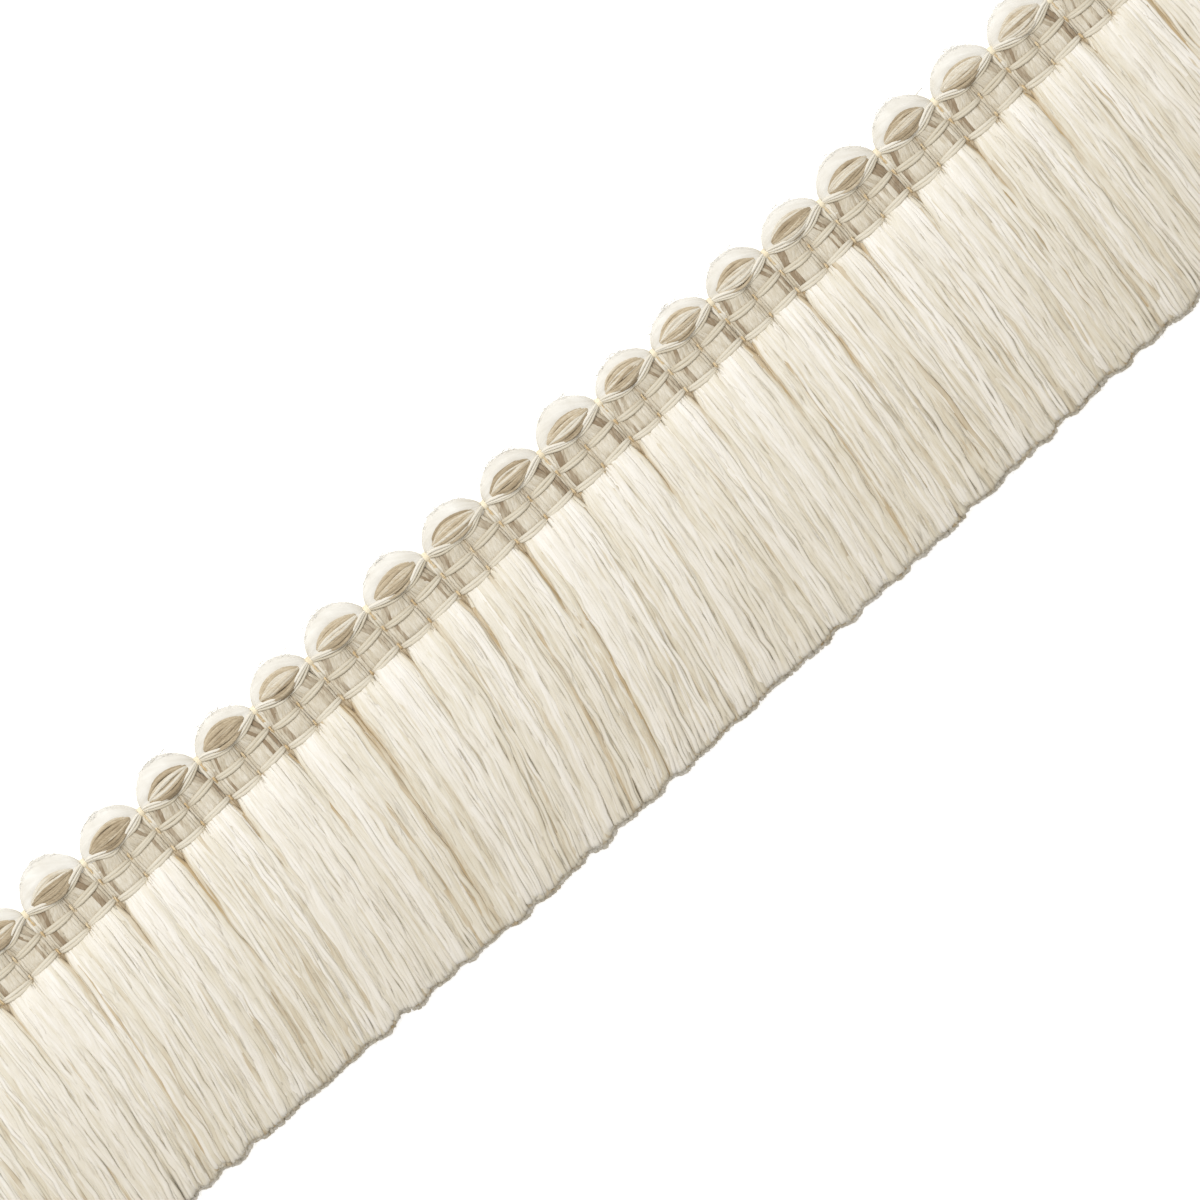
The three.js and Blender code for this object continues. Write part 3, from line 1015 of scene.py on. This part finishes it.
@dataclass
class BrushSkirt(SubAssembly):
    """The cut brush: tufts that spring from the lower cord, spread, lean and gather into locks."""

    seed: int = 101
    top_depth: float = 11.75
    tie_gap: float = 0.35
    cut_depth: float = 49.9
    back_height: float = 0.28
    squeeze: float = 0.93
    lean_power: float = 1.6
    drawn_down: float = 37.0
    notch_width: float = 0.62
    notch_tail: float = 0.12
    gather: float = 0.16
    drift: float = 0.14
    lock_sway: float = 0.4

    def face_height(self, along: np.ndarray, share: np.ndarray) -> np.ndarray:
        """Reads the height of the brush's face.

        Args:
            along: Distance from the left-hand end, before the brush leans.
            share: How far down the brush, from 0 to 1.

        Returns:
            The height in millimetres.
        """
        shares = [r.share for r in SKIRT_ROWS]
        crown = np.interp(share, shares, [r.crown for r in SKIRT_ROWS])
        groove = np.interp(share, shares, [r.groove for r in SKIRT_ROWS])
        place = along / self.trim.pitch - np.floor(along / self.trim.pitch)
        rounded = np.sqrt(np.clip(np.sin(math.pi * place), 0, 1))
        parting = 0.22 * hump(place, 0.5, 0.05) * (1 - smooth(share, 0.02, 0.16))
        return groove + (crown - groove) * rounded - parting

    def locks(self, root: np.ndarray, seed: int) -> tuple[np.ndarray, np.ndarray, np.ndarray]:
        """Gathers the yarns into locks of uneven width.

        Args:
            root: The yarns' places along the heading.
            seed: Seed of the locks' widths.

        Returns:
            How far each yarn is from the middle of its lock, how rounded the lock is there, from 0
            at its sides to 1 in its middle, and the number of the lock.
        """
        widths = np.random.default_rng(seed).uniform(1.0, 3.4, int(self.trim.length))
        bounds = np.cumsum(widths) - 3.0
        lock = np.searchsorted(bounds, root)
        to_middle = (bounds[lock - 1] + bounds[lock]) / 2 - root
        return to_middle, 1 - (2 * to_middle / widths[lock]) ** 2, lock

    def layer(self, kind: SkirtLayer, seed: int) -> tuple[np.ndarray, np.ndarray, np.ndarray]:
        """Lays one layer of yarns.

        Args:
            kind: How deep the layer lies and how finely it is made.
            seed: Seed of the layer's own differences.

        Returns:
            Centre lines in millimetres, each station's radius and each yarn's shade.
        """
        rng = np.random.default_rng(seed)
        pitch, length = self.trim.pitch, self.trim.length
        count = kind.yarns * len(REPEATS)
        root = (np.arange(count) + rng.uniform(0.2, 0.8, count)) * length / count
        share = np.linspace(0, 1, kind.stations - 2) ** 1.1
        t = np.concatenate([[-0.009], share[:-1], [0.992, 1.0]])[None, :]
        on = np.clip(t, 0, 1)
        # At the tie each half tuft is squeezed, and the notch between two tufts stays open a while
        half = np.floor(root / (pitch / 2))
        rib_middle = (half + 0.5) * pitch / 2
        squeezed = rib_middle + (root - rib_middle) * (self.squeeze if kind.notch else 1.0)
        edge = (root - self.trim.middle(np.floor(root / pitch))) / (pitch / 2)
        closing = np.random.default_rng(67).uniform(0.14, 0.34, len(REPEATS) + 1)
        closing = closing[np.round(root / pitch).astype(int)][:, None]
        inward = -np.sign(edge) * kind.notch * np.abs(edge) ** 5
        parted = self.notch_width * (1 - smooth(t, -0.012, 0.085))
        parted = parted + self.notch_tail * (1 - smooth(t / closing, 0.5, 1.0))
        along = squeezed[:, None] + (root - squeezed)[:, None] * smooth(t, -0.012, 0.1)
        along = along + inward[:, None] * parted
        # Down the brush come the lean, the locks and each yarn's own wandering
        lean = self.trim.blended("lean", root)[:, None]
        to_middle, rounded, lock = self.locks(root, seed)
        sway, lift, tone, cut = np.random.default_rng(73).normal(0, 1, (4, lock.max() + 1))[:, lock]
        # Below the face the yarns lie more evenly, so that they close the gaps between the locks
        loose = 1.0 if kind.level == 0 else 0.4
        gather = self.gather * loose * smooth(t, 0.2, 1.0) * to_middle[:, None]
        drawn = t * self.drawn_down
        drift = self.drift * Ripple(seed + 1, 4.0, 30.0).at(root[:, None], drawn)
        drift = drift * smooth(t, 0.05, 0.4)
        own = rng.normal(0, 0.13 * loose, (count, 1)) * smooth(t, 0.05, 0.6)
        turns = rng.uniform(2.5, 6.5, (count, 1)) * t + rng.uniform(0, 1, (count, 1))
        swing = rng.uniform(0.07, 0.2, (count, 1)) * loose * smooth(t, 0.03, 0.25)
        along = along + lean * on**self.lean_power + gather + drift + own
        along = along + swing * np.sin(math.tau * turns) + self.lock_sway * sway[:, None] * on**2
        # The cut is uneven: along the whole edge, from lock to lock and from yarn to yarn
        foot = self.cut_depth + self.trim.blended("cut", root) - kind.shortfall
        foot = foot + 0.17 * Ripple(89, 6.0, 1.0).at(root, 0.0) + 0.04 * cut
        foot = foot + 0.12 * (rounded - 0.7) + rng.normal(0, 0.035, count)
        in_rib = root / (pitch / 2) - half
        sides = [LOWER_CORD.depth(column, in_rib) for column in Column]
        start = np.where(half % 2 == 0, *sides) + self.tie_gap
        depth = start[:, None] + (foot - start)[:, None] * t
        # The face is rounded, and deeper layers are pressed towards the back
        arch = np.maximum(TieCords.arch(in_rib)[:, None], 0.25)
        tied = smooth(t, -0.005 - 0.006 * arch, 0.02 - 0.014 * arch)
        surface = self.face_height(root[:, None], on) * tied + (1.7 + 1.45 * arch) * (1 - tied)
        uneven = (0.06 * lift[:, None] + 0.2 * (rounded[:, None] - 0.6)) * smooth(t, 0.1, 0.7) * loose
        proud = rng.normal(0, 0.035 * loose, (count, 1))
        uneven = uneven + proud * smooth(t, 0.02, 0.2)
        uneven = uneven + 0.04 * Ripple(seed + 2, 1.3, 18.0).at(root[:, None], drawn)
        back = self.back_height + 0.7 * (1 - smooth(t, 0.0, 0.06))
        radius = kind.radius * rng.uniform(0.7, 1.25, (count, 1)) * np.where(t > 0.995, 0.6, 1.0)
        radius = radius * (1 + 0.3 * (1 - smooth(t, 0.03, 0.2)))
        radius = radius * (1 + 0.08 * np.sin(40 * t + 9 * root[:, None]))
        thick = kind.flatness * radius
        height = back + (surface - thick + uneven - back) * (1 - kind.level)
        height = np.maximum(height, thick + 0.03)
        # Locks, patches and single yarns differ, yarns that stand proud are drawn lighter as painted
        # light, and a tuft's outermost yarns are darker
        shade = kind.shade + 0.06 * tone + 0.05 * Ripple(79, 7.0, 1.0).at(root, 0.0)
        shade = shade + rng.normal(0, 0.05, count) + proud[:, 0]
        beige = rng.uniform(0, 1, count) < 0.1
        shade = np.where(beige, shade - rng.uniform(0.12, 0.3, count), shade)
        outer = smooth(np.abs(edge), 0.82, 0.97) * rng.uniform(0.4, 1.0, count)
        fades = 1 - 0.85 * smooth(t, 0.15, 0.5)
        shade = shade[:, None] - 0.75 * (outer * np.where(edge > 0, 1.0, 0.7))[:, None] * fades
        return self.trim.place(along, depth, height), radius, np.clip(shade, 0, 1)

    def build(self) -> None:
        """Builds the brush, layer by layer from the face to the back."""
        for number, kind in enumerate(SKIRT_LAYERS):
            yarns = YarnMesh(kind.name)
            lines, radius, shade = self.layer(kind, self.seed + 7 * number)
            yarns.add(lines, radius, shade, sides=kind.sides, flatness=kind.flatness)
            self.dress(yarns, BRUSH, ["brush_skirt"] if number == 0 else ())


@dataclass
class LooseFibres(SubAssembly):
    """The fine fibres that stand off the loops and lie loose on the brush."""

    seed: int = 83
    radius: float = 0.022
    root_depth: float = 4.2
    per_loop: int = 110
    on_brush: int = 1400

    def build(self) -> None:
        """Builds the fibres of the loops and of the brush."""
        self.loop_fibres()
        self.brush_fibres()

    def loop_fibres(self) -> None:
        """Lets short fibres curl off the outer side of the loops."""
        rng = self.rng
        fibres = YarnMesh("loop_fibres")
        count = self.per_loop * len(REPEATS)
        repeat = np.arange(count) % len(REPEATS)
        offset = rng.uniform(-4.6, 4.6, count)
        angle = np.radians(rng.uniform(58, 122, count))
        rise = np.array([r.rise for r in REPEATS])[repeat]
        bow = np.sqrt(np.clip(1 - (offset / 4.75) ** 2, 0, 1))
        run = rng.uniform(0.5, 1.6, (count, 1)) * rng.choice([-1, 1], (count, 1))
        share = np.linspace(0, 1, 4)[None]
        lift = rng.uniform(0.05, 0.4, (count, 1)) * np.sin(share * rng.uniform(1.5, 2.9, (count, 1)))
        reach_up = (4.15 + rise)[:, None] * bow[:, None] + lift
        reach_out = 2.2 * bow[:, None] + lift
        along = (self.trim.middle(repeat) + offset)[:, None] + run * share
        depth = self.root_depth - np.sin(angle)[:, None] * reach_up
        height = KNOT_HEIGHT + np.cos(angle)[:, None] * reach_out
        fibres.add(self.trim.place(along, depth, height), self.radius, 0.9, 3, outward=UP + 0.1)
        self.dress(fibres, ROVING)

    def brush_fibres(self) -> None:
        """Lays loose fibres on the face of the brush, a little across its yarns."""
        rng = self.rng
        fibres = YarnMesh("brush_fibres")
        brush = BrushSkirt(self.trim)
        count = self.on_brush
        root = rng.uniform(1, self.trim.length - 1, (count, 1))
        start = rng.uniform(0.02, 0.9, (count, 1))
        share = np.linspace(0, 1, 5)[None]
        t = start + rng.uniform(0.05, 0.16, (count, 1)) * share
        across = rng.normal(0, 0.35, (count, 1)) * share + 0.2 * np.sin(share * 3)
        lean = self.trim.blended("lean", root) * t**brush.lean_power
        depth = brush.top_depth + (brush.cut_depth - brush.top_depth) * np.minimum(t, 1.0)
        height = brush.face_height(root, np.minimum(t, 1.0)) + rng.uniform(0.0, 0.15, (count, 1))
        lines = self.trim.place(root + across + lean, depth, height)
        fibres.add(lines, self.radius, rng.uniform(0.5, 1.0, count), sides=3)
        self.dress(fibres, BRUSH)


@dataclass
class Studio:
    """The plain studio: a white floor, soft light from the loops' side and the camera above."""

    trim: TrimFrame
    view_width: float = 165.6
    roll: float = 41.82
    centre_along: float = 129.9
    centre_depth: float = 24.7
    lens: float = 300.0
    sensor: float = 36.0
    floor_side: float = 3.0
    floor_glow: float = 0.55
    surround: float = 0.58
    lamp_size: float = 0.9
    lamp_power: float = 13.5
    lamp_place: tuple[float, float, float] = (-0.2, 0.6, 1.2)

    def camera(self) -> None:
        """Sets the camera straight above the trim, rolled so that the trim rises to the right."""
        data = bpy.data.cameras.new("camera")
        data.lens = self.lens
        data.sensor_width = self.sensor
        made = bpy.data.objects.new("camera", data)
        x = self.trim.left + self.centre_along
        y = self.trim.top_line - self.centre_depth
        distance = self.view_width * self.lens / self.sensor
        made.location = (x * MM, y * MM, distance * MM)
        made.rotation_euler = (0.0, 0.0, -math.radians(self.roll))
        bpy.context.scene.collection.objects.link(made)
        bpy.context.scene.camera = made

    def floor(self) -> None:
        """Lays the floor: a white acrylic sheet lit a little from below, so shadows wash out."""
        half = self.floor_side / 2
        corners = [(-half, -half, 0), (half, -half, 0), (half, half, 0), (-half, half, 0)]
        mesh = bpy.data.meshes.new("floor")
        mesh.from_pydata(corners, [], [(0, 1, 2, 3)])
        acrylic = bpy.data.materials.new("backlit_white_acrylic")
        acrylic.use_nodes = True
        acrylic.node_tree.nodes.clear()
        surface = add_node(acrylic.node_tree, "BsdfPrincipled", {
            "Base Color": linear(0xF0F0F0),
            "Roughness": 0.9,
            "Specular IOR Level": 0.1,
            "Emission Color": linear(0xFFFFFF),
            "Emission Strength": self.floor_glow,
        })
        add_node(acrylic.node_tree, "OutputMaterial", {"Surface": surface})
        mesh.materials.append(acrylic)
        made = bpy.data.objects.new("floor", mesh)
        bpy.context.scene.collection.objects.link(made)

    def light(self) -> None:
        """Sets an even white surround and one large soft lamp."""
        scene = bpy.context.scene
        scene.view_settings.view_transform = "Standard"
        scene.view_settings.look = "None"
        world = bpy.data.worlds.new("surround")
        world.use_nodes = True
        ground = world.node_tree.nodes["Background"]
        ground.inputs["Color"].default_value = (1.0, 1.0, 1.0, 1.0)
        ground.inputs["Strength"].default_value = self.surround
        scene.world = world
        lamp = bpy.data.lights.new("softbox", "AREA")
        lamp.shape = "SQUARE"
        lamp.size = self.lamp_size
        lamp.energy = self.lamp_power
        made = bpy.data.objects.new("softbox", lamp)
        x, y, z = self.lamp_place
        made.location = self.lamp_place
        made.rotation_euler = (math.atan2(math.hypot(x, y), z), 0.0, math.pi - math.atan2(x, y))
        scene.collection.objects.link(made)


def main() -> None:
    """Builds the studio and the trim, sub-assembly by sub-assembly."""
    logging.basicConfig(level=logging.INFO, format="%(message)s")
    trim = TrimFrame.from_model()
    studio = Studio(trim)
    studio.camera()
    studio.floor()
    studio.light()
    kinds = (LoopEdge, SwagCord, TieCords, HeadingRibs, BinderThreads, BrushSkirt, LooseFibres)
    for kind in kinds:
        log.info("building %s", kind.__name__)
        kind(trim).build()


if __name__ == "__main__":
    main()
